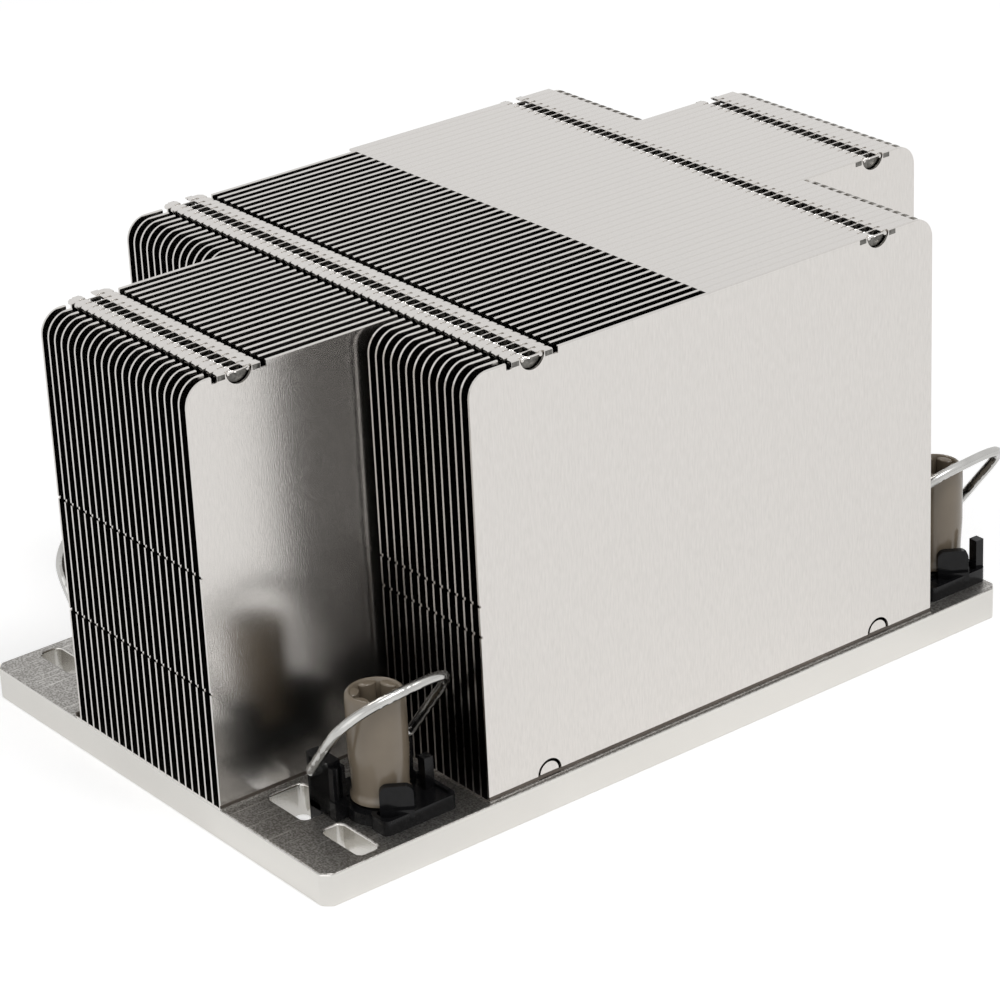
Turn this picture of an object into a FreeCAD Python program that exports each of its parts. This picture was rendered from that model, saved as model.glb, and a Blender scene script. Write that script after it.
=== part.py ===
import FreeCAD, Part
import math
import os

# Passive heatsink for a server processor: a thick base plate carries a stack of thin folded
# fins, zipped edge to edge, and a captive nut with a wire bail at each corner of the plate.
# Millimetres. +Z is up, the origin is the bottom centre of the base plate, +X runs to the
# rear, where the long fins overhang the plate, and the air flows along X between the fins.

# Base plate
base_length = 118.0
base_width = 78.0
base_thickness = 4.7
base_corner_chamfer = 1.2

# Fin stack: short fins on both sides leave a bay for the nuts at each corner of the plate
overall_height = 64.0
fin_sheet = 0.4
fold_gap = 0.03
stack_side_margin = 0.6
short_fin_count_right = 14
long_fin_count = 22
short_fin_count_left = 13
front_bay = 26.6
rear_bay = 13.0
long_fin_overhang = 5.0
fin_corner_radius = 3.2

# Zipper rows along the top edge: a half-round notch in the sheet under two short fold pads
open_top_length = 65.3
long_row_inset = 8.0
short_row_inset = 10.0
notch_radius = 1.95
pad_reach = 3.2
hole_ahead = 0.8
hole_behind = 0.9

# Rounded outlines are drawn with short flats, which keeps a stack of many sheets light
corner_flat_count = 2
notch_flat_count = 3
turned_flat_count = 14
wire_flat_count = 6

# Captive nuts, one at each corner
nut_front_setback = 15.7
nut_rear_setback = 4.0
nut_side_setback = 9.0
nut_height = 17.25
nut_top_radius = 3.95
nut_body_radius = 4.1
nut_sleeve_radius = 3.1
nut_shoulder_height = 8.3
nut_shoulder_drop = 2.0
nut_base_gap = 0.05
thread_radius = 1.65
thread_depth = 10.0
drive_outer_radius = 3.3
drive_inner_radius = 2.5
drive_depth = 4.0
drive_lobe_count = 6
stud_hole_radius = 2.6

# Plastic retainers, one round each nut
ring_wall = 1.3
ring_height = 2.1
ring_gap = 0.3
tray_outward = 6.4
tray_inset = 2.7
tray_floor = 1.6
tray_rim_wall = 0.9
front_tray_ahead = 4.1
front_tray_behind = 7.4
rear_tray_ahead = 6.5
rear_tray_behind = 4.0
ear_inner = 4.4
ear_thickness = 1.9
ear_near = 1.9
ear_far = 7.1
ear_height = 7.9
hook_width = 2.4
hook_depth = 3.9
tab_width = 4.3
tab_thickness = 0.9
tab_height = 5.5
tab_outward = 3.9
tab_offset = 1.65
tab_corner = 0.8
tab_turn = -34.0
post_size = 1.4
post_height = 6.3
front_post_behind = 5.2
front_post_outward = 1.2
rear_post_behind = 2.6
rear_post_outward = 4.4

# Wire bails, each pivoting in the two ears of its retainer
wire_diameter = 1.4
wire_gap = 0.06
bail_ahead = 7.9
bail_behind = 8.2
pivot_inward = 4.3
pivot_height = 6.5
bail_rest_angle = 52.0
bail_shoulder = 9.6
bail_reach_ahead = 14.3
bail_reach_behind = 16.4
bail_bend_ahead = 4.6
bail_bend_behind = 2.2
bail_bend_share = 0.5
bail_rise_share = 0.67
bail_stub = 0.5

# Openings through the plate beside the nuts
pocket_gap = 0.4
front_pocket_ahead = 9.3
front_pocket_width = 8.3
corner_pocket_length = 3.3
corner_pocket_near = 0.8
corner_pocket_far = 7.6

fin_count = short_fin_count_right + long_fin_count + short_fin_count_left
fin_pitch = (base_width - 2 * stack_side_margin) / fin_count
stack_start = stack_side_margin - base_width / 2
front_edge = -base_length / 2
rear_edge = base_length / 2
closed_fold_start = front_edge + open_top_length
long_span = (front_edge, rear_edge + long_fin_overhang)
short_span = (front_edge + front_bay, rear_edge - rear_bay)
short_rows = (short_span[0] + short_row_inset, short_span[1] - short_row_inset)
long_rows = (long_span[0] + long_row_inset,) + short_rows + (long_span[1] - long_row_inset,)
nut_x = {"front": front_edge + nut_front_setback, "rear": rear_edge - nut_rear_setback}
nut_y = base_width / 2 - nut_side_setback
wire_radius = wire_diameter / 2
cut_past = 1.0


def save(solid, name):
    solid.exportStep("parts/" + name + ".step")


def box(x_span, y_span, z_span):
    corner = FreeCAD.Vector(x_span[0], y_span[0], z_span[0])
    sizes = [span[1] - span[0] for span in (x_span, y_span, z_span)]
    return Part.makeBox(*sizes, corner)


def closed_face(corners):
    return Part.Face(Part.makePolygon(corners + corners[:1]))


def around(radius, height, turn):
    """A point at a distance from the Z axis, turned from +X by degrees."""
    angle = math.radians(turn)
    return FreeCAD.Vector(radius * math.cos(angle), radius * math.sin(angle), height)


def turned(profile, flats):
    """A many-sided round about the Z axis, from pairs of radius and height, bottom first."""
    step = 360 / flats
    rings = [[around(radius, height, step * side) for side in range(flats)] for radius, height in profile]
    faces = [closed_face(rings[0]), closed_face(rings[-1])]
    for low, high in zip(rings, rings[1:]):
        for side in range(flats):
            faces.append(closed_face([low[side - 1], low[side], high[side], high[side - 1]]))
    shell = Part.makeShell(faces)
    shell.sewShape()
    solid = Part.makeSolid(shell)
    return solid if solid.Volume > 0 else solid.reversed()


def placed(solid, end, side):
    """A corner piece drawn about its nut axis, facing -Y, set at one corner of the plate."""
    if side == "left":
        solid = solid.mirror(FreeCAD.Vector(0, 0, 0), FreeCAD.Vector(0, 1, 0))
    y = nut_y if side == "left" else -nut_y
    return solid.translated(FreeCAD.Vector(nut_x[end], y, base_thickness))


# Base plate ------------------------------------------------------------------------------


def pocket(x_span, inward_span, side):
    """An opening through the plate; inward_span is measured from the nut row to the middle."""
    facing = 1 if side == "right" else -1
    edges = [facing * (inward - nut_y) for inward in inward_span]
    return box(x_span, (min(edges), max(edges)), (-cut_past, base_thickness + cut_past))


def base_plate():
    plate = box((front_edge, rear_edge), (-base_width / 2, base_width / 2), (0, base_thickness))
    upright = [edge for edge in plate.Edges if edge.BoundBox.ZLength > base_thickness / 2]
    plate = plate.makeChamfer(base_corner_chamfer, upright)
    past_base = base_thickness + 2 * cut_past
    stud_hole = Part.makeCylinder(stud_hole_radius, past_base, FreeCAD.Vector(0, 0, -cut_past))
    cuts = []
    hook_inward = (ear_far - hook_width - pocket_gap, ear_far + pocket_gap)
    for side in ("right", "left"):
        for x in nut_x.values():
            y = -nut_y if side == "right" else nut_y
            cuts.append(stud_hole.translated(FreeCAD.Vector(x, y, 0)))
        ahead = nut_x["front"] - front_pocket_ahead
        inward = (hook_inward[0], hook_inward[0] + front_pocket_width)
        outward = (-corner_pocket_far, corner_pocket_near)
        cuts.append(pocket((ahead, nut_x["front"] - ear_inner + 2 * pocket_gap), inward, side))
        cuts.append(pocket((ahead, ahead + corner_pocket_length), outward, side))
        hook_x = nut_x["rear"] - ear_inner
        cuts.append(pocket((hook_x - ear_thickness - pocket_gap, hook_x + pocket_gap), hook_inward, side))
    return plate.cut(cuts)


# Fins ------------------------------------------------------------------------------------


def bend(x, z, radius, start, end, flats):
    """Corners round a centre, in the plane of the sheet, from one angle to another."""
    corners = []
    for step in range(flats + 1):
        angle = math.radians(start + (end - start) * step / flats)
        corners.append(FreeCAD.Vector(x + radius * math.cos(angle), 0, z + radius * math.sin(angle)))
    return corners


def sheet(span, rows):
    """The upright web of one fin, with rounded top corners and half-round notches."""
    radius = fin_corner_radius
    low = overall_height - radius
    outline = [FreeCAD.Vector(span[1], 0, base_thickness), FreeCAD.Vector(span[0], 0, base_thickness)]
    outline += bend(span[0] + radius, low, radius, 180, 90, corner_flat_count)
    for row in rows:
        outline += bend(row, overall_height, notch_radius, 180, 360, notch_flat_count)
    outline += bend(span[1] - radius, low, radius, 90, 0, corner_flat_count)
    return closed_face(outline).extrude(FreeCAD.Vector(0, fin_sheet, 0))


def fold_spans(span, rows):
    """Where the top edge is folded over: pads beside the open rows, then a closed run."""
    spans = []
    start = closed_fold_start
    for row in rows:
        if row < closed_fold_start:
            spans.append((row - pad_reach, row - hole_ahead))
            spans.append((row + hole_behind, row + pad_reach))
        else:
            spans.append((start, row - hole_ahead))
            start = row + hole_behind
    spans.append((start, span[1] - fin_corner_radius))
    return spans


def fin(span, rows):
    reach = (0, fin_pitch - fold_gap)
    top = (overall_height - fin_sheet, overall_height)
    folds = [box(x_span, reach, top) for x_span in fold_spans(span, rows)]
    folds.append(box(span, reach, (base_thickness, base_thickness + fin_sheet)))
    return sheet(span, rows).fuse(folds).removeSplitter()


def fins():
    groups = [("short_fin_right", short_fin_count_right, short_span, short_rows),
              ("long_fin", long_fin_count, long_span, long_rows),
              ("short_fin_left", short_fin_count_left, short_span, short_rows)]
    place = 0
    for name, count, span, rows in groups:
        pattern = fin(span, rows)
        for number in range(1, count + 1):
            y = stack_start + place * fin_pitch
            save(pattern.translated(FreeCAD.Vector(0, y, 0)), name + "_%02d" % number)
            place += 1


# Nuts ------------------------------------------------------------------------------------


def nut():
    """A moulded sleeve with a shoulder, a drive socket above and a thread below."""
    profile = [(nut_sleeve_radius, nut_base_gap),
               (nut_sleeve_radius, nut_shoulder_height - nut_shoulder_drop),
               (nut_body_radius, nut_shoulder_height), (nut_top_radius, nut_height)]
    lobes = []
    for corner in range(2 * drive_lobe_count):
        radius = drive_outer_radius if corner % 2 else drive_inner_radius
        lobes.append(around(radius, nut_height - drive_depth, corner * 180 / drive_lobe_count))
    socket = closed_face(lobes).extrude(FreeCAD.Vector(0, 0, drive_depth + cut_past))
    thread = Part.makeCylinder(thread_radius, thread_depth, FreeCAD.Vector(0, 0, nut_base_gap))
    return turned(profile, turned_flat_count).cut([socket, thread]).removeSplitter()


# Retainers -------------------------------------------------------------------------------


def plan(points, bottom, top):
    """A flat outline seen from above, raised between two heights."""
    corners = [FreeCAD.Vector(x, y, bottom) for x, y in points]
    return closed_face(corners).extrude(FreeCAD.Vector(0, 0, top - bottom))


def tray_outline(ahead, behind, outward):
    """The tray seen from above: it runs along the outside and comes in beside the ring."""
    return [(-ahead, -outward), (behind, -outward), (behind, ear_near),
            (0, ear_near), (0, -tray_inset), (-ahead, -tray_inset)]


def tab():
    """The finger tab with clipped corners, turned to face the corner of the plate."""
    low = tab_offset - tab_width / 2
    high = tab_offset + tab_width / 2
    side = tab_height - tab_corner
    outline = [(low, 0), (high, 0), (high, side), (high - tab_corner, tab_height),
               (low + tab_corner, tab_height), (low, side)]
    face = closed_face([FreeCAD.Vector(x, -tab_outward, z) for x, z in outline])
    plate = face.extrude(FreeCAD.Vector(0, -tab_thickness, 0))
    return plate.rotated(FreeCAD.Vector(0, 0, 0), FreeCAD.Vector(0, 0, 1), tab_turn)


def retainer(ahead, behind, post_x, post_y):
    """A ring round the nut on a rimmed tray, with two ears for the bail and a hook."""
    bore_radius = nut_sleeve_radius + ring_gap
    outer_radius = bore_radius + ring_wall
    ear_outer = ear_inner + ear_thickness
    tray = plan(tray_outline(ahead, behind, tray_outward), 0, ring_height)
    rim = tray_rim_wall
    well = plan(tray_outline(ahead - rim, behind - rim, tray_outward - rim), tray_floor, ring_height)
    pieces = [turned([(outer_radius, 0), (outer_radius, ring_height)], turned_flat_count),
              box((-ear_outer, ear_outer), (0, ear_far), (0, tray_floor)),
              box((-ear_outer, -ear_inner), (ear_near, ear_far), (0, ear_height)),
              box((ear_inner, ear_outer), (ear_near, ear_far), (0, ear_height)),
              box((-ear_outer, -ear_inner), (ear_far - hook_width, ear_far), (-hook_depth, 0)),
              box((post_x, post_x + post_size), (-post_y - post_size, -post_y), (0, post_height)),
              tab()]
    solid = tray.cut(well).fuse(pieces)
    bore = turned([(bore_radius, -cut_past), (bore_radius, tab_height + cut_past)], turned_flat_count)
    half = wire_radius + wire_gap
    pivots = box((-ear_outer - cut_past, ear_outer + cut_past), (pivot_inward - half, pivot_inward + half),
                 (pivot_height - half, pivot_height + half))
    return solid.cut([bore, pivots]).removeSplitter()


# Bails -----------------------------------------------------------------------------------


def bail():
    """One bent wire: a stub in each ear, two legs and a sloping crossbar."""
    stub = ear_inner + bail_stub
    rounded_reach = bail_shoulder + bail_rise_share * (bail_reach_ahead - bail_shoulder)
    route = [(-stub, 0), (-bail_ahead, 0), (-bail_ahead, bail_shoulder),
             (-bail_ahead + bail_bend_share * bail_bend_ahead, rounded_reach),
             (-bail_ahead + bail_bend_ahead, bail_reach_ahead),
             (bail_behind - bail_bend_behind, bail_reach_behind),
             (bail_behind, bail_reach_behind - bail_bend_behind), (bail_behind, 0), (stub, 0)]
    rest = math.radians(bail_rest_angle)
    points = []
    for x, reach in route:
        y = pivot_inward - reach * math.cos(rest)
        z = pivot_height + reach * math.sin(rest)
        points.append(FreeCAD.Vector(x, y, z))
    section = []
    for side in range(wire_flat_count):
        angle = 2 * math.pi * side / wire_flat_count
        offset = FreeCAD.Vector(0, wire_radius * math.cos(angle), wire_radius * math.sin(angle))
        section.append(points[0] + offset)
    outline = Part.makePolygon(section + section[:1])
    return Part.makePolygon(points).makePipeShell([outline], True, False, 1)


save(base_plate(), "base_plate")
fins()
for end in ("front", "rear"):
    clips = []
    for side in ("right", "left"):
        save(placed(nut(), end, side), "nut_" + end + "_" + side)
        save(placed(bail(), end, side), "bail_" + end + "_" + side)
        if end == "front":
            clip = retainer(front_tray_ahead, front_tray_behind, front_post_behind, front_post_outward)
        else:
            clip = retainer(rear_tray_ahead, rear_tray_behind, rear_post_behind, rear_post_outward)
        clips.append(placed(clip, end, side))
    save(Part.makeCompound(clips), end + "_retainers")
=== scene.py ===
import math

import bmesh
import bpy
from mathutils import Matrix, Vector


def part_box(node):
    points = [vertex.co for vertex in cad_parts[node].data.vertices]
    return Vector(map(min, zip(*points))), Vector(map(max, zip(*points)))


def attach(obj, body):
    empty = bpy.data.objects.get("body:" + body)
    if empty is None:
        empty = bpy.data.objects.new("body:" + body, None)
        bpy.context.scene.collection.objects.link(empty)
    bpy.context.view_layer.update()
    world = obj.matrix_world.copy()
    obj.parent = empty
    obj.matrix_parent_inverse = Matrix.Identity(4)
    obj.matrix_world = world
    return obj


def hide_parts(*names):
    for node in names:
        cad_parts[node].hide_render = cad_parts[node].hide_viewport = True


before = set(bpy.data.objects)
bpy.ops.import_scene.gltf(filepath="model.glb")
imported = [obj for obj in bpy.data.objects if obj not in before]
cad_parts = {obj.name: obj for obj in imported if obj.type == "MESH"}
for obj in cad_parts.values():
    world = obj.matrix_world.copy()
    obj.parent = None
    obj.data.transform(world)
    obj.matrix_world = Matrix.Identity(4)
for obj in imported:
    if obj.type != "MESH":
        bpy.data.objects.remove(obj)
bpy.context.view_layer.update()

# Camera ----------------------------------------------------------------------------------
# A long lens from the front right, above the fins, rolled a little clockwise.

CAMERA_PLACE = Vector((-0.28216, -0.37098, 0.24152))
CAMERA_AIM = Vector((0.54968, 0.72043, -0.42289))
CAMERA_ROLL = math.radians(-2.742)
CAMERA_LENS = 134.262

camera = bpy.data.objects.new("camera", bpy.data.cameras.new("camera"))
camera.data.sensor_width = 36
camera.data.lens = CAMERA_LENS
camera.data.clip_start = 0.01
camera.data.clip_end = 10
camera.matrix_world = (
    Matrix.Translation(CAMERA_PLACE)
    @ CAMERA_AIM.to_track_quat("-Z", "Y").to_matrix().to_4x4()
    @ Matrix.Rotation(CAMERA_ROLL, 4, "Z")
)
bpy.context.collection.objects.link(camera)
bpy.context.scene.camera = camera
bpy.context.scene.view_settings.view_transform = "Standard"

# Light and floor -------------------------------------------------------------------------
# An even white studio: the world fills, two round lamps put highlights on the folds and the
# wires, and the camera and the metal see plain white. The floor keeps a soft shadow.

FILL = 0.46
LAMPS = {
    "key": (Vector((0.0, -0.42, 0.76)), 0.24, 1.7),
    "side": (Vector((-0.88, -0.40, 0.30)), 0.9, 1.3),
}
FLOOR_SIZE = 6.0
FLOOR_COLOUR = (0.92, 0.92, 0.92, 1)
FLOOR_GLOW = 0.47


class Field:
    """A shader socket that takes part in ordinary arithmetic."""

    def __init__(self, finish, socket):
        self.finish = finish
        self.socket = socket

    def math(self, operation, *values):
        inputs = dict(enumerate(values))
        return self.finish.node("ShaderNodeMath", {"operation": operation}, inputs)

    def __add__(self, other):
        return self.math("ADD", self, other)

    def __radd__(self, other):
        return self.math("ADD", other, self)

    def __mul__(self, other):
        return self.math("MULTIPLY", self, other)

    def __rmul__(self, other):
        return self.math("MULTIPLY", other, self)

    def __gt__(self, other):
        return self.math("GREATER_THAN", self, other)

    def __lt__(self, other):
        return self.math("LESS_THAN", self, other)


class Finish:
    """A material or world made of nodes, with node() as the one way to add to it."""

    def __init__(self, owner):
        owner.use_nodes = True
        self.owner = owner
        self.tree = owner.node_tree
        self.tree.nodes.clear()

    def node(self, kind, settings, inputs, output=0):
        made = self.tree.nodes.new(kind)
        for name, value in settings.items():
            if name == "stops":
                ramp = made.color_ramp
                for place, shade in value[1:-1]:
                    ramp.elements.new(place).color = shade
                for end, (place, shade) in ((0, value[0]), (-1, value[-1])):
                    ramp.elements[end].position = place
                    ramp.elements[end].color = shade
            else:
                setattr(made, name, value)
        for name, value in inputs.items():
            if isinstance(value, Field):
                self.tree.links.new(value.socket, made.inputs[name])
            else:
                made.inputs[name].default_value = value
        return Field(self, made.outputs[output]) if made.outputs else None

    def seen(self):
        """One where the camera, metal or glass looks at this, nought elsewhere."""
        rays = ("Is Camera Ray", "Is Glossy Ray", "Is Transmission Ray")
        direct, glossy, through = [
            self.node("ShaderNodeLightPath", {}, {}, ray) for ray in rays
        ]
        return direct.math("MAXIMUM", direct.math("MAXIMUM", direct, glossy), through)

    def mixed(self, factor, first, second):
        """Two colours mixed by a factor."""
        settings = {"data_type": "RGBA"}
        return self.node("ShaderNodeMix", settings, {0: factor, 6: first, 7: second}, 2)

    def points(self, scale):
        """Object coordinates stretched by a scale along each axis, in cells per metre."""
        place = self.node("ShaderNodeTexCoord", {}, {}, "Object")
        return self.node("ShaderNodeVectorMath", {"operation": "MULTIPLY"}, {0: place, 1: scale})

    def noise(self, scale, detail=2.0):
        """An uneven value with its own scale along each axis, in cells per metre."""
        inputs = {"Vector": self.points(scale), "Scale": 1.0, "Detail": detail}
        return self.node("ShaderNodeTexNoise", {}, inputs)

    def bumps(self, strength, rise, height):
        """A normal bent by an uneven height, whose full rise is in metres."""
        inputs = {"Strength": strength, "Distance": rise, "Height": height}
        return self.node("ShaderNodeBump", {}, inputs)

    def surfaced(self, inputs):
        """Makes this a material with one surface that has these inputs."""
        shader = self.node("ShaderNodeBsdfPrincipled", {}, inputs)
        self.node("ShaderNodeOutputMaterial", {}, {"Surface": shader})


world = bpy.data.worlds.new("studio")
bpy.context.scene.world = world
sky = Finish(world)
sky_level = FILL + (1 - FILL) * sky.seen()
sky_shader = sky.node("ShaderNodeBackground", {}, {"Color": (1, 1, 1, 1), "Strength": sky_level})
sky.node("ShaderNodeOutputWorld", {}, {"Surface": sky_shader})

for name, (place, size, power) in LAMPS.items():
    lamp = bpy.data.objects.new(name, bpy.data.lights.new(name, "AREA"))
    lamp.data.shape = "DISK"
    lamp.data.size = size
    lamp.data.energy = power
    aim = (-place).to_track_quat("-Z", "Y").to_matrix().to_4x4()
    lamp.matrix_world = Matrix.Translation(place) @ aim
    bpy.context.collection.objects.link(lamp)

floor_mesh = bpy.data.meshes.new("floor")
bm = bmesh.new()
bmesh.ops.create_grid(bm, x_segments=1, y_segments=1, size=FLOOR_SIZE / 2)
bm.to_mesh(floor_mesh)
bm.free()
floor = bpy.data.objects.new("floor", floor_mesh)
bpy.context.collection.objects.link(floor)
paint = Finish(bpy.data.materials.new("floor"))
matt = paint.node("ShaderNodeBsdfDiffuse", {}, {"Color": FLOOR_COLOUR})
glow = paint.node("ShaderNodeEmission", {}, {"Strength": FLOOR_GLOW * paint.seen()})
both = paint.node("ShaderNodeAddShader", {}, {0: matt, 1: glow})
paint.node("ShaderNodeOutputMaterial", {}, {"Surface": both})
floor_mesh.materials.append(paint.owner)

# Base plate ------------------------------------------------------------------------------
# A thick nickel-plated plate with a speckled top, smoother sides and softened edges. It has
# a stud hole under each nut and rounded openings beside the retainers.

PLATE_CHAMFER = 0.0012
PLATE_EDGE = 0.00025
PLATE_TOP = 0.00462
POCKET_ROUND = 0.0009
STUD_HOLE_RADIUS = 0.0026
STUD_HOLE_LENGTH = 0.01
HOOK_POCKET = (-0.0067, -0.0040, 0.0043, 0.0075)
FRONT_POCKET = (-0.0093, -0.0036, 0.0043, 0.0126)
CORNER_POCKET = (-0.0093, -0.0060, -0.0076, 0.0008)
CORNERS = [(end, side) for end in ("front", "rear") for side in ("right", "left")]
OVERCUT = 0.001
SMOOTH_BELOW = math.radians(30)
SIDE_COLOURS = ((0.60, 0.585, 0.555, 1), (0.67, 0.655, 0.625, 1))
PIT_COLOURS = ((0.22, 0.21, 0.195, 1), (0.50, 0.485, 0.465, 1))
SCRATCH_COLOUR = (0.80, 0.78, 0.75, 1)


def stretch(centre, sign, near, far):
    """The limits of a stretch from near to far on one side of a centre."""
    return sorted((centre + sign * near, centre + sign * far))


def rounded(bm, edges, radius, segments):
    """Rounds edges, or chamfers them where there is one segment."""
    bmesh.ops.bevel(
        bm, geom=edges, offset=radius, offset_type="OFFSET", affect="EDGES",
        segments=segments, profile=0.5, material=-1,
    )


def block(bm, x, y, z, radius=0.0, segments=2, upright_only=False, turn=0.0):
    """A box between pairs of limits, with rounded edges, turned about the Z axis."""
    size = Vector((x[1] - x[0], y[1] - y[0], z[1] - z[0]))
    middle = Vector((x[0] + x[1], y[0] + y[1], z[0] + z[1])) / 2
    place = Matrix.Rotation(turn, 4, "Z") @ Matrix.LocRotScale(middle, None, size)
    made = bmesh.ops.create_cube(bm, size=1, matrix=place)
    edges = {edge for vert in made["verts"] for edge in vert.link_edges}
    if upright_only:
        rise = size.z / 2
        edges = {edge for edge in edges if abs(edge.verts[0].co.z - edge.verts[1].co.z) > rise}
    if radius > 0:
        rounded(bm, list(edges), radius, segments)


def rod(bm, radius, length, segments, place):
    """A round bar along Z, with its middle where a matrix puts it."""
    bmesh.ops.create_cone(
        bm, cap_ends=True, segments=segments, radius1=radius, radius2=radius, depth=length,
        matrix=place,
    )


def nut_axis(end, side):
    """Where the axis of a corner's nut meets the top of the plate, and the way it faces."""
    low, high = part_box("nut_" + end + "_" + side)
    facing = 1 if side == "right" else -1
    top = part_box("base_plate")[1].z
    return Vector(((low.x + high.x) / 2, (low.y + high.y) / 2, top)), facing


def seated(bm, end, side):
    """Moves a mesh drawn about a nut's axis, facing -Y, to its corner of the plate."""
    place, facing = nut_axis(end, side)
    bmesh.ops.scale(bm, vec=(1, facing, 1), verts=bm.verts)
    bmesh.ops.translate(bm, vec=place, verts=bm.verts)
    bmesh.ops.recalc_face_normals(bm, faces=bm.faces)
    return bm


def carved(bm, cutter, operation="DIFFERENCE"):
    """The first mesh with the second taken away from it, or what they share."""
    objects = []
    for part in (bm, cutter):
        bmesh.ops.recalc_face_normals(part, faces=part.faces)
        mesh = bpy.data.meshes.new("carving")
        part.to_mesh(mesh)
        part.free()
        objects.append(bpy.data.objects.new("carving", mesh))
        bpy.context.collection.objects.link(objects[-1])
    cut = objects[0].modifiers.new("cut", "BOOLEAN")
    cut.object = objects[1]
    cut.operation = operation
    cut.solver = "EXACT"
    cut.use_self = True
    bpy.context.view_layer.update()
    finished = objects[0].evaluated_get(bpy.context.evaluated_depsgraph_get())
    result = bmesh.new()
    result.from_mesh(bpy.data.meshes.new_from_object(finished))
    for made in objects:
        bpy.data.objects.remove(made)
    return result


def piece(name, bm, body, finishes, nodes):
    """A finished piece: its mesh, finishes and material slot, and the nodes it stands for."""
    mesh = bpy.data.meshes.new(name)
    bm.to_mesh(mesh)
    bm.free()
    for finish in finishes:
        mesh.materials.append(finish.owner)
    mesh.shade_smooth()
    mesh.set_sharp_from_angle(angle=SMOOTH_BELOW)
    made = bpy.data.objects.new(name, mesh)
    bpy.context.collection.objects.link(made)
    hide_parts(*nodes)
    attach(made, body)
    return made


def softened(made, width):
    """Breaks the sharp edges of a finished piece."""
    edges = made.modifiers.new("edges", "BEVEL")
    edges.width = width
    edges.segments = 2
    edges.limit_method = "ANGLE"


nickel = Finish(bpy.data.materials.new("nickel_plate"))
specks = nickel.noise((4200, 3000, 4200), 8.0)
wash = nickel.noise((60, 60, 60))
scratches = nickel.node(
    "ShaderNodeValToRGB", {"stops": [(0.66, (0, 0, 0, 1)), (0.70, (1, 1, 1, 1))]},
    {"Fac": nickel.noise((110, 2300, 110), 1.0)},
)
pits = nickel.node(
    "ShaderNodeValToRGB", {"stops": [(0.40, PIT_COLOURS[0]), (0.66, PIT_COLOURS[1])]},
    {"Fac": specks},
)
height = nickel.node("ShaderNodeSeparateXYZ", {}, {0: nickel.points((1, 1, 1))}, 2)
milled = height > PLATE_TOP
sides = nickel.mixed(wash, *SIDE_COLOURS)
speckled = nickel.mixed(0.4 * scratches, pits, SCRATCH_COLOUR)
relief = (0.33 + 0.67 * milled) * (specks + 0.5 * scratches)
nickel.surfaced({
    "Base Color": nickel.mixed(milled, sides, speckled),
    "Metallic": 1.0,
    "Roughness": 0.17 + 0.10 * wash + 0.2 * milled,
    "Normal": nickel.bumps(0.9, 0.000025, relief),
})

plate_low, plate_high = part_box("base_plate")
bm = bmesh.new()
block(
    bm, *zip(plate_low, plate_high), radius=PLATE_CHAMFER, segments=1, upright_only=True,
)
cutter = bmesh.new()
through = (plate_low.z - OVERCUT, plate_high.z + OVERCUT)
for end, side in CORNERS:
    place, facing = nut_axis(end, side)
    pockets = [FRONT_POCKET, CORNER_POCKET] if end == "front" else [HOOK_POCKET]
    for ahead, behind, near, far in pockets:
        x = (place.x + ahead, place.x + behind)
        y = stretch(place.y, facing, near, far)
        block(cutter, x, y, through, POCKET_ROUND, 4, True)
    rod(cutter, STUD_HOLE_RADIUS, STUD_HOLE_LENGTH, 40, Matrix.Translation(place))
bm = carved(bm, cutter)
plate = piece("plate", bm, "root", [nickel], ["base_plate"])
softened(plate, PLATE_EDGE)

# Fins ------------------------------------------------------------------------------------
# Folded sheets of two lengths. Each has a foot, a top fold that is cut away over the front
# half, and rows where the folds hook into each other over a half-round notch.

SHEET = 0.00033
FOLD_ROUND = 0.00016
FOLD_SEGMENTS = 4
FOLD_TRIM = 0.0009
CORNER_ROUND = 0.0032
CORNER_SEGMENTS = 10
SAME_HEIGHT = 1e-6
OPEN_TOP = 0.0653
LONG_INSET = 0.008
SHORT_INSET = 0.010
ACROSS = 0.003
SEAM = 0.00006
PAD_REACH = 0.0032
PAD_CLIP = 0.0006
PAD_CLIP_LENGTH = 0.002
PAD_GAP = 0.0001
PAD_SKIN = 0.00003
PAD_DROP = (0.0008, 0.00012)
HOLE_HALF = 0.0009
HOLE_START = 0.0003
SLOT = (0.00325, 0.0041)
SLOT_DEPTH = 0.0009
NOTCH_RADIUS = 0.00195
NOTCH_LENGTH = OVERCUT + SHEET + 0.0001
NOTCH_SEGMENTS = 32
FOOT_LIFT = 0.0008
TONGUE_RADIUS = 0.95 * NOTCH_RADIUS
TONGUE_THICKNESS = 0.8 * SHEET
TONGUE_SETBACK = 0.0006
TONGUE_DROP = 0.0006
FOOT_TONGUE_RADIUS = 0.78 * NOTCH_RADIUS
FOOT_TONGUE_THICKNESS = 0.5 * SHEET
FOOT_TONGUE_SETBACK = 0.2 * SHEET
TONGUE_SEGMENTS = 28
LATCH_REACH = 0.00045
LATCH_DROP = 0.00008
LATCH_ROUND = 0.00006
DOT_RADIUS = 0.00034
DOT_SPREAD = 0.00145
DOT_SETBACK = 0.8 * SHEET
DOT_DROP = 0.00002
LIP = 0.0002
BURR = Vector((0.0009, 0.00026, 0.00008))
BURR_FACING = Vector((-0.30, -0.65, 0.70))
BURR_PLACE = Vector((-0.00085, 0.00022, -0.00022))
NICKS = {"long": (0.0378, 0.0214), "short": (0.0326, 0.0283)}
NICK = (0.00022, 0.0004)
OUTER_FINS = {
    "short_fin_right_01": -1, "long_fin_01": -1, "long_fin_22": 1, "short_fin_left_13": 1,
}
WEB_AREA = 0.00002
WEB_FACING = 0.9
# Material slots of the painted shade on the recessed tongues and pads, and on the inner webs.
PAINTED_RECESS_SHADE, PAINTED_WEB_SHADE = 1, 2
FOOT_STRIPS = [(0.00004, (0.0003, 0.0008)), (0.0002, (-0.00005, 0.00026))]
STRIP_BACK = 0.0002
STRIP_ROUND = 0.00003
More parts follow.
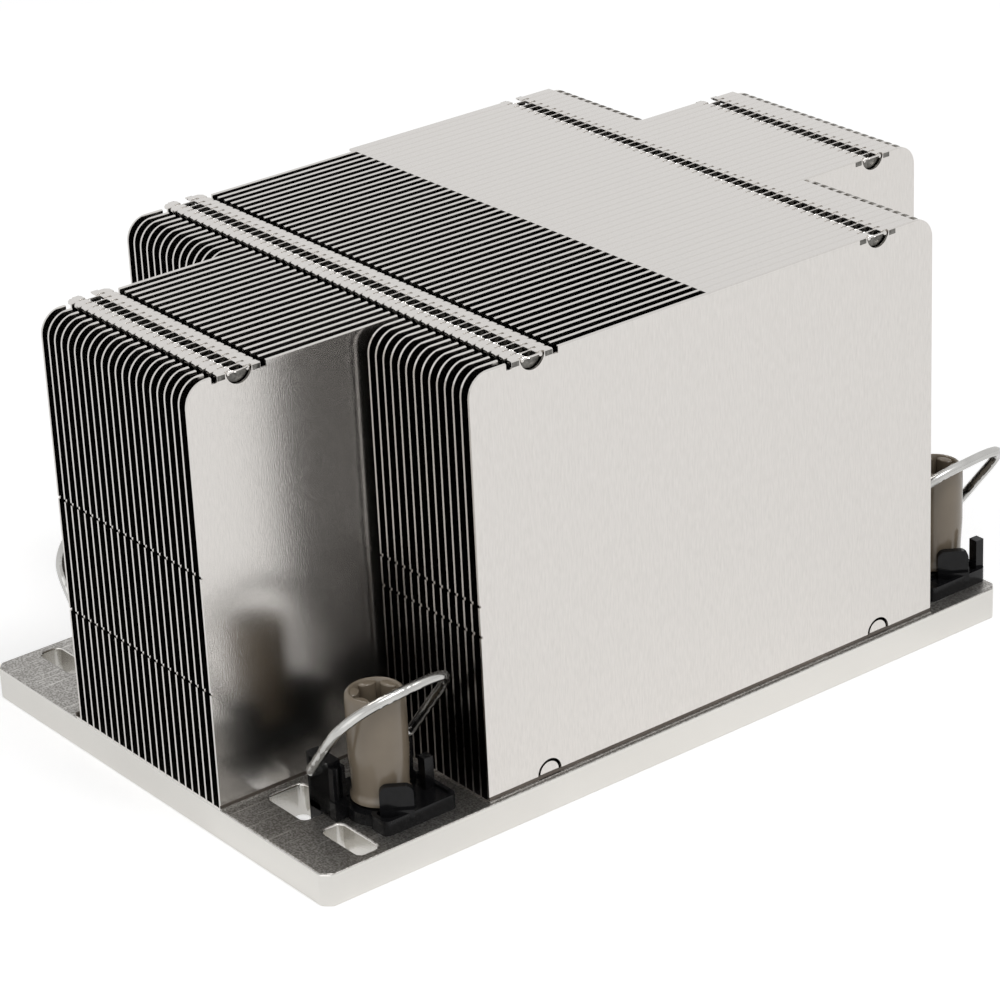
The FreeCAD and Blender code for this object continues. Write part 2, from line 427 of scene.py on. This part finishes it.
FIN_COLOURS = ((0.555, 0.535, 0.51, 1), (0.675, 0.65, 0.625, 1))
# Painted shade of the gaps between the stacked fins, for the inner webs.
PAINTED_WEB_SHADE_COLOURS = ((0.20, 0.19, 0.18, 1), (0.30, 0.29, 0.27, 1))
# Painted shade, mottled at random, for the recessed tongues and the pads beside the notches.
PAINTED_RECESS_SHADE_COLOURS = ((0.0, 0.0, 0.0, 1), (0.30, 0.29, 0.27, 1))
# Partly solder, partly painted shade of the gap under each outer fin's foot.
SOLDER_AND_SHADE_COLOURS = ((0.015, 0.011, 0.008, 1), (0.20, 0.17, 0.145, 1))


def disc(bm, centre, radius, depth, segments):
    """A short round bar along Y, starting at its centre point."""
    middle = Matrix.Translation(centre + Vector((0, depth / 2, 0)))
    rod(bm, radius, depth, segments, middle @ Matrix.Rotation(math.pi / 2, 4, "X"))


def added(bm, before):
    """The faces that a mesh has gained since a set of them was taken."""
    return [face for face in bm.faces if face not in before]


def joined(bm, part):
    """Adds a second mesh to the first and lets it go."""
    mesh = bpy.data.meshes.new("part")
    part.to_mesh(mesh)
    part.free()
    bm.from_mesh(mesh)


def folded_sheet(x, z, width):
    """One sheet bent along its top and bottom, with its web on y = 0."""
    bm = bmesh.new()
    corners = [(width, z[0]), (0, z[0]), (0, z[1]), (width, z[1])]
    verts = [bm.verts.new((x[0], y, height)) for y, height in corners]
    edges = [bm.edges.new(pair) for pair in zip(verts, verts[1:])]
    drawn = bmesh.ops.extrude_edge_only(bm, edges=edges)["geom"]
    moved = [item for item in drawn if isinstance(item, bmesh.types.BMVert)]
    bmesh.ops.translate(bm, vec=(x[1] - x[0], 0, 0), verts=moved)
    bends = [edge for edge in bm.edges if len(edge.link_faces) == 2]
    rounded(bm, bends, FOLD_ROUND, FOLD_SEGMENTS)
    bmesh.ops.recalc_face_normals(bm, faces=bm.faces)
    web = max(bm.faces, key=lambda face: face.calc_area())
    thickness = SHEET if web.normal.y < 0 else -SHEET
    bmesh.ops.solidify(bm, geom=bm.faces[:], thickness=thickness)
    return bm


def half_disc(bm, centre, radius, depth, cut_height, keep_above):
    """A round plate facing Y, with what is above or below a height cut off."""
    before = set(bm.faces)
    disc(bm, centre, radius, depth, TONGUE_SEGMENTS)
    geom = set(added(bm, before))
    for face in list(geom):
        geom.update(face.edges)
        geom.update(face.verts)
    cut = bmesh.ops.bisect_plane(
        bm, geom=list(geom), plane_co=(0, 0, cut_height), plane_no=(0, 0, 1),
        clear_outer=not keep_above, clear_inner=keep_above,
    )
    rim = [item for item in cut["geom_cut"] if isinstance(item, bmesh.types.BMEdge)]
    bmesh.ops.edgenet_fill(bm, edges=rim)
    return added(bm, before)


def fin_cutter(x, low, top, width, rows, nicks, foot_notches):
    """All that is cut out of a folded sheet: the open top, notches, holes, slots and nicks."""
    cutter = bmesh.new()
    open_end = plate_low.x + OPEN_TOP
    clear = (top - FOLD_TRIM, top + OVERCUT)
    start = x[0] - OVERCUT
    for row in rows:
        if row < open_end:
            block(cutter, (start, row - PAD_REACH), (SHEET, ACROSS), clear)
            start = row + PAD_REACH
            for sign in (-1, 1):
                slot = stretch(row, sign, *SLOT)
                deep = (top - SLOT_DEPTH, top + OVERCUT)
                block(cutter, slot, (-OVERCUT, OVERCUT), deep)
                clip = Matrix.Translation((row + sign * PAD_REACH, width, top))
                rod(cutter, PAD_CLIP, PAD_CLIP_LENGTH, 4, clip)
        hole = (row - HOLE_HALF, row + HOLE_HALF)
        block(cutter, hole, (HOLE_START, ACROSS), (top - OVERCUT, top + OVERCUT))
        notch = Vector((row, -OVERCUT, top))
        disc(cutter, notch, NOTCH_RADIUS, NOTCH_LENGTH, NOTCH_SEGMENTS)
        if foot_notches:
            notch.z = low + FOOT_LIFT
            disc(cutter, notch, NOTCH_RADIUS, NOTCH_LENGTH, NOTCH_SEGMENTS)
    for height in nicks:
        nick = (x[0] - OVERCUT, x[0] + NICK[0])
        block(cutter, nick, (-OVERCUT, ACROSS), (height, height + NICK[1]))
    block(cutter, (start, open_end), (SHEET, ACROSS), clear)
    corner = (x[1] - CORNER_ROUND, x[1] + OVERCUT)
    below = (top - CORNER_ROUND - OVERCUT, top + OVERCUT)
    block(cutter, corner, (SHEET, ACROSS), below)
    block(cutter, (x[0] - OVERCUT, x[1] + OVERCUT), (width - SEAM, ACROSS), clear)
    return cutter


def fin_trim(low, top, width, rows, foot_notches):
    """The small parts at a fin's rows: tongues, lips, burrs, latches, dots and pads, with
    painted shade on the top tongues and the pads.
    """
    trim = bmesh.new()
    for row in rows:
        tongue = Vector((row, TONGUE_SETBACK, top))
        level = top - TONGUE_DROP
        # The top tongue is painted dark as the shade inside its notch.
        for face in half_disc(trim, tongue, TONGUE_RADIUS, TONGUE_THICKNESS, level, False):
            face.material_index = PAINTED_RECESS_SHADE
        if foot_notches:
            level = low + FOOT_LIFT
            tongue = Vector((row, FOOT_TONGUE_SETBACK, level))
            half_disc(trim, tongue, FOOT_TONGUE_RADIUS, FOOT_TONGUE_THICKNESS, level, True)
        lip = (row - DOT_SPREAD, row + DOT_SPREAD)
        block(trim, lip, (0, LIP), (top - 1.5 * LIP, top - LIP / 2), LIP / 4)
        facing = BURR_FACING.to_track_quat("Z", "Y")
        burr = Matrix.LocRotScale(BURR_PLACE + Vector((row, 0, top)), facing, BURR)
        bmesh.ops.create_cube(trim, size=1, matrix=burr)
        for sign in (-1, 1):
            latch = stretch(row, sign, HOLE_HALF, NOTCH_RADIUS)
            past = (width - SHEET, width + LATCH_REACH)
            block(trim, latch, past, (top - SHEET, top - LATCH_DROP), LATCH_ROUND)
            dot = (row + sign * DOT_SPREAD, DOT_SETBACK, top - DOT_RADIUS - DOT_DROP)
            bmesh.ops.create_icosphere(
                trim, subdivisions=2, radius=DOT_RADIUS, matrix=Matrix.Translation(dot),
            )
            # Each pad is a thin sheet painted dark as the shade where the fold bends down beside
            # the notch.
            before = set(trim.faces)
            pad = stretch(row, sign, NOTCH_RADIUS + PAD_GAP, PAD_REACH)
            level = (top - PAD_DROP[0], top - PAD_DROP[1])
            block(trim, pad, (-PAD_SKIN, SHEET / 2), level, PAD_SKIN)
            for face in added(trim, before):
                face.material_index = PAINTED_RECESS_SHADE
    bmesh.ops.recalc_face_normals(trim, faces=trim.faces)
    return trim


def fin_pattern(node, rows, nicks, foot_notches):
    """The mesh of one fin with its web on y = 0, from the size of a node in the stack."""
    low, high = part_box(node)
    x = (low.x, high.x)
    top = high.z
    width = high.y - low.y
    bm = folded_sheet(x, (low.z, top), width)
    outline = bmesh.new()
    block(outline, x, (-OVERCUT, ACROSS), (low.z - OVERCUT, top))
    shoulders = [
        edge for edge in outline.edges
        if all(abs(vert.co.z - top) < SAME_HEIGHT for vert in edge.verts)
        and abs(edge.verts[0].co.y - edge.verts[1].co.y) > OVERCUT
    ]
    rounded(outline, shoulders, CORNER_ROUND, CORNER_SEGMENTS)
    bm = carved(bm, outline, "INTERSECT")
    bm = carved(bm, fin_cutter(x, low.z, top, width, rows, nicks, foot_notches))
    joined(bm, fin_trim(low.z, top, width, rows, foot_notches))
    return bm


aluminium = Finish(bpy.data.materials.new("fin_sheet"))
grain = aluminium.noise((4500, 4500, 700), 3.0)
cloud = aluminium.noise((90, 90, 40))
brushed = aluminium.noise((9000, 9000, 1100))
aluminium.surfaced({
    "Base Color": aluminium.mixed(grain, *FIN_COLOURS),
    "Metallic": 1.0,
    "Roughness": 0.19 + 0.05 * cloud,
    "Normal": aluminium.bumps(1.0, 0.00001, brushed),
})

# A dark copy of the fin sheet: painted shade for the webs inside the stack.
web_shade_paint = Finish(bpy.data.materials.new("fin_sheet_painted_web_shade"))
web_shade_mottle = web_shade_paint.noise((400, 400, 400))
web_shade_paint.surfaced({
    "Base Color": web_shade_paint.mixed(web_shade_mottle, *PAINTED_WEB_SHADE_COLOURS),
    "Metallic": 1.0,
    "Roughness": 0.16 + 0.06 * web_shade_mottle,
})

# A dark, mottled copy of the fin sheet: painted shade for the recessed tongues and the pads.
recess_shade_paint = Finish(bpy.data.materials.new("fin_sheet_painted_recess_shade"))
recess_shade_mottle = recess_shade_paint.noise((2200, 2200, 2200), 3.0)
recess_shade_paint.surfaced({
    "Base Color": recess_shade_paint.mixed(recess_shade_mottle, *PAINTED_RECESS_SHADE_COLOURS),
    "Metallic": 1.0,
    "Roughness": 0.25 + 0.2 * recess_shade_mottle,
})

fins = (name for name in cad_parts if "_fin_" in name)
stack = sorted(fins, key=lambda name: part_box(name)[0].y)
long_low, long_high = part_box("long_fin_01")
short_low, short_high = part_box("short_fin_right_01")
short_rows = [short_low.x + SHORT_INSET, short_high.x - SHORT_INSET]
long_rows = [long_low.x + LONG_INSET] + short_rows + [long_high.x - LONG_INSET]
patterns = {
    "long": fin_pattern("long_fin_01", long_rows, NICKS["long"], False),
    "short": fin_pattern("short_fin_right_01", short_rows, NICKS["short"], True),
}
for name in stack:
    bm = patterns[name.split("_")[0]].copy()
    # Web faces that look into the stack, not out of it, take the painted shade of the gaps
    # between fins.
    for face in bm.faces:
        web = abs(face.normal.y) > WEB_FACING and face.calc_area() > WEB_AREA
        if web and face.normal.y * OUTER_FINS.get(name, 0) <= 0:
            face.material_index = PAINTED_WEB_SHADE
    bmesh.ops.translate(bm, vec=(0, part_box(name)[0].y, 0), verts=bm.verts)
    piece(name + "_sheet", bm, "root", [aluminium, recess_shade_paint, web_shade_paint], [name])

# Along the feet of the outer fins: a dark band that is partly solder and partly painted shade of
# the gap under the fold, above a nickel fillet.
solder_and_shade = Finish(bpy.data.materials.new("solder_and_shade_line"))
band_variation = solder_and_shade.noise((70, 900, 900), 3.0)
solder_and_shade.surfaced({
    "Base Color": solder_and_shade.mixed(band_variation, *SOLDER_AND_SHADE_COLOURS),
    "Metallic": 0.6,
    "Roughness": 0.25 + 0.3 * band_variation,
})
bm = bmesh.new()
for name, outward in OUTER_FINS.items():
    low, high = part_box(name)
    web = low.y if outward < 0 else high.y
    along = (low.x, min(high.x, plate_high.x))
    for strip, (depth, height) in enumerate(FOOT_STRIPS):
        before = set(bm.faces)
        y = stretch(web, -outward, -depth, STRIP_BACK)
        block(bm, along, y, (low.z + height[0], low.z + height[1]), STRIP_ROUND)
        for face in added(bm, before):
            face.material_index = strip
piece("solder_and_shade_line", bm, "root", [solder_and_shade, nickel], [])

# Nuts ------------------------------------------------------------------------------------
# Moulded tan sleeves, turned from one profile, with a six-lobe drive socket in the top and
# a bore below, drawn plain without its thread. Each turns on its own body.

NUT_PROFILE = [
    (0.00165, 0.00005), (0.0031, 0.00005), (0.0031, 0.0022), (0.0038, 0.0022),
    (0.0040, 0.00235), (0.00402, 0.0028), (0.0039, 0.0031), (0.0038, 0.0033),
    (0.00376, 0.0038), (0.00378, 0.0052), (0.00384, 0.0064), (0.00392, 0.0077),
    (0.00398, 0.0088), (0.00395, 0.0165), (0.00385, 0.0169), (0.0036, 0.01718),
    (0.0034, 0.01725), (0.0032, 0.01715), (0.0030, 0.0168), (0.0029, 0.0132),
    (0.00165, 0.0132),
]
NUT_STEPS = 56
LOBE = Vector((0.0009, 0.0013, 0.0018))
LOBE_COUNT = 6
LOBE_REACH = 0.00285
LOBE_HEIGHT = 0.0150
LOBE_TAPER = 0.94
LOBE_TURN = 15
TAN_COLOURS = ((0.195, 0.157, 0.114, 1), (0.238, 0.195, 0.143, 1))


def turned(bm, profile, steps):
    """A ring with this profile of radii and heights, about the Z axis."""
    verts = [bm.verts.new((radius, 0, height)) for radius, height in profile]
    edges = [bm.edges.new(pair) for pair in zip(verts, verts[1:] + verts[:1])]
    bmesh.ops.spin(
        bm, geom=verts + edges, axis=(0, 0, 1), cent=(0, 0, 0), angle=2 * math.pi, steps=steps,
        use_merge=True, use_duplicate=False,
    )


tan = Finish(bpy.data.materials.new("tan_plastic"))
tan_tone = tan.noise((250, 250, 250))
tan_fine = tan.noise((900, 900, 900))
tan.surfaced({
    "Base Color": tan.mixed(tan_tone, *TAN_COLOURS),
    "Roughness": 0.14 + 0.1 * tan_fine,
    "Specular IOR Level": 0.5,
    "Normal": tan.bumps(0.1, 0.00002, tan_fine),
})

for end, side in CORNERS:
    bm = bmesh.new()
    turned(bm, NUT_PROFILE, NUT_STEPS)
    for lobe in range(LOBE_COUNT):
        turn = math.radians(LOBE_TURN + 360 / LOBE_COUNT * lobe)
        turn = Matrix.Rotation(turn, 4, "Z")
        place = Vector((LOBE_REACH, 0, LOBE_HEIGHT))
        bmesh.ops.create_cone(
            bm, cap_ends=True, segments=24, radius1=1, radius2=LOBE_TAPER, depth=2,
            matrix=turn @ Matrix.LocRotScale(place, None, LOBE),
        )
        place.z += LOBE.z
        dome = Vector((LOBE.x, LOBE.y, LOBE.x / 3)) * LOBE_TAPER
        dome = turn @ Matrix.LocRotScale(place, None, dome)
        bmesh.ops.create_icosphere(bm, subdivisions=3, radius=1, matrix=dome)
    name = "nut_" + end + "_" + side
    piece(name + "_sleeve", seated(bm, end, side), name, [tan], [name])

# Retainers -------------------------------------------------------------------------------
# Black moulded trays round the nuts, with ears for the bails, a post and a finger tab.

EAR_X = (0.0044, 0.0063)
EAR_Y = (0.0019, 0.0071)
EAR_TOP = 0.0079
EAR_FOOT = 0.0033
EAR_LIFT = 0.0001
RIB = 0.0005
RIB_LIFT = 0.0002
BOSS_RADIUS = 0.00045
TRAYS = {"front": (0.0041, 0.0074), "rear": (0.0065, 0.0040)}
TRAY_OUT = 0.0064
TRAY_IN = 0.0027
TRAY_TOP = 0.0021
TRAY_FLOOR = 0.0017
TRAY_RIM = 0.0006
TRAY_ROUND = 0.0009
RING_PROFILE = [
    (0.0033, 0), (0.0047, 0), (0.0047, 0.0016), (0.0041, 0.0016), (0.0041, 0.0020),
    (0.0033, 0.0020),
]
RING_STEPS = 48
RING_BORE_LENGTH = 0.02
HOOK_Y = 0.0047
HOOK_FOOT = -0.0039
POSTS = {"front": (0.0052, 0.0012), "rear": (0.0026, 0.0044)}
POST_SIZE = 0.0014
POST_TOP = 0.0063
ROOT_HEIGHT = 0.001
TAB_X = (-0.0004, 0.0040)
TAB_Y = (-0.0050, -0.0040)
TAB_Z = (0.0012, 0.0058)
TAB_ROUND = 0.0011
TAB_TURN = math.radians(-34)
PLASTIC_EDGE = 0.00016
BLACK_COLOURS = ((0.004, 0.004, 0.0045, 1), (0.010, 0.010, 0.011, 1))

black = Finish(bpy.data.materials.new("black_plastic"))
black_fine = black.noise((1100, 1100, 1100))
black.surfaced({
    "Base Color": black.mixed(black_fine, *BLACK_COLOURS),
    "Roughness": 0.13 + 0.08 * black_fine,
    "Specular IOR Level": 0.2,
    "Normal": black.bumps(0.1, 0.00005, black_fine),
})

for end in ("front", "rear"):
    both_sides = bmesh.new()
    ahead, behind = TRAYS[end]
    post_x, post_y = POSTS[end]
    trays = [((-ahead, behind), (-TRAY_OUT, -TRAY_IN)), ((0, behind), (-TRAY_OUT, EAR_Y[0]))]
    for side in ("right", "left"):
        bm = bmesh.new()
        wells = bmesh.new()
        for tray in trays:
            block(bm, *tray, (0, TRAY_TOP), TRAY_ROUND, 4, True)
            well = [(low + TRAY_RIM, high - TRAY_RIM) for low, high in tray]
            block(wells, *well, (TRAY_FLOOR, 2 * TRAY_TOP), TRAY_RIM, 4, True)
        rod(wells, RING_PROFILE[0][0], RING_BORE_LENGTH, RING_STEPS, Matrix.Identity(4))
        bm = carved(bm, wells)
        block(bm, (-EAR_X[1], EAR_X[1]), (EAR_FOOT, EAR_Y[1]), (0, TRAY_FLOOR))
        for sign in (-1, 1):
            ear = stretch(0, sign, *EAR_X)
            block(bm, ear, (EAR_Y[0] + RIB, EAR_Y[1]), (EAR_LIFT, EAR_TOP))
            for rib in ((ear[0], ear[0] + RIB), (ear[1] - RIB, ear[1])):
                ribbed = (EAR_Y[0] - RIB, EAR_Y[1] - RIB)
                block(bm, rib, ribbed, (RIB_LIFT, EAR_TOP - RIB))
            step = (ear[0] - RIB / 4, ear[1] + RIB / 4)
            block(bm, step, (EAR_Y[0] - 1.5 * RIB, EAR_Y[0] + RIB), (0, TRAY_TOP + RIB))
            boss = Matrix.Translation(((ear[0] + ear[1]) / 2, EAR_Y[0] + RIB / 2, EAR_TOP / 2))
            rod(bm, BOSS_RADIUS, EAR_TOP - 3 * RIB, 16, boss)
        block(bm, (-EAR_X[1], -EAR_X[0]), (HOOK_Y, EAR_Y[1]), (HOOK_FOOT, ROOT_HEIGHT))
        post = ((post_x, post_x + POST_SIZE), (-post_y - POST_SIZE, -post_y))
        block(bm, *post, (ROOT_HEIGHT, POST_TOP))
        tab = bmesh.new()
        block(tab, TAB_X, TAB_Z, TAB_Y, TAB_ROUND, 5, True)
        turn = Matrix.Rotation(TAB_TURN, 4, "Z") @ Matrix.Rotation(math.pi / 2, 4, "X")
        turn = turn @ Matrix.Scale(-1, 4, (0, 0, 1))
        bmesh.ops.transform(tab, matrix=turn, verts=tab.verts)
        brace = (TAB_Y[0] - RIB, TAB_Y[1])
        block(tab, TAB_X, brace, (ROOT_HEIGHT, TRAY_TOP + RIB), turn=TAB_TURN)
        turned(tab, RING_PROFILE, RING_STEPS)
        for part in (bm, tab):
            joined(both_sides, seated(part, end, side))
    name = end + "_retainers"
    moulding = piece(name + "_moulding", both_sides, "root", [black], [name])
    softened(moulding, PLASTIC_EDGE)

# Bails -----------------------------------------------------------------------------------
# Bright steel wires, hinged in the ears and leaning outward over the nuts.

WIRE_RADIUS = 0.0007
PIVOT = Vector((0, 0.0043, 0.0065))
BAIL_LEAN = math.radians(52)
BAIL_ROUTE = [
    (-0.0051, 0), (-0.0066, 0), (-0.0079, 0.0003), (-0.0079, 0.0018), (-0.0079, 0.0096),
    (-0.0070, 0.0117), (-0.0051, 0.0137), (-0.0025, 0.0149), (0.0007, 0.0156),
    (0.0047, 0.0163), (0.0076, 0.0154), (0.0084, 0.0120), (0.0082, 0.0080),
    (0.0082, 0.0018), (0.0082, 0.0003), (0.0068, 0), (0.0051, 0),
]
STEEL_COLOURS = ((0.34, 0.335, 0.32, 1), (0.62, 0.615, 0.60, 1))

steel = Finish(bpy.data.materials.new("steel_wire"))
drawn = steel.noise((260, 260, 260), 1.0)
steel.surfaced({
    "Base Color": steel.mixed(drawn, *STEEL_COLOURS),
    "Metallic": 1.0,
    "Roughness": 0.14 + 0.12 * drawn,
})

for end, side in CORNERS:
    curve = bpy.data.curves.new("wire", "CURVE")
    curve.dimensions = "3D"
    curve.bevel_depth = WIRE_RADIUS
    curve.bevel_resolution = 4
    curve.use_fill_caps = True
    spline = curve.splines.new("NURBS")
    spline.points.add(len(BAIL_ROUTE) - 1)
    for point, (x, reach) in zip(spline.points, BAIL_ROUTE):
        y = PIVOT.y - reach * math.cos(BAIL_LEAN)
        point.co = (x, y, PIVOT.z + reach * math.sin(BAIL_LEAN), 1)
    spline.order_u = 3
    spline.use_endpoint_u = True
    spline.resolution_u = 14
    wire = bpy.data.objects.new("wire", curve)
    bm = bmesh.new()
    bm.from_mesh(bpy.data.meshes.new_from_object(wire))
    bpy.data.objects.remove(wire)
    name = "bail_" + end + "_" + side
    piece(name + "_wire", seated(bm, end, side), name, [steel], [name])
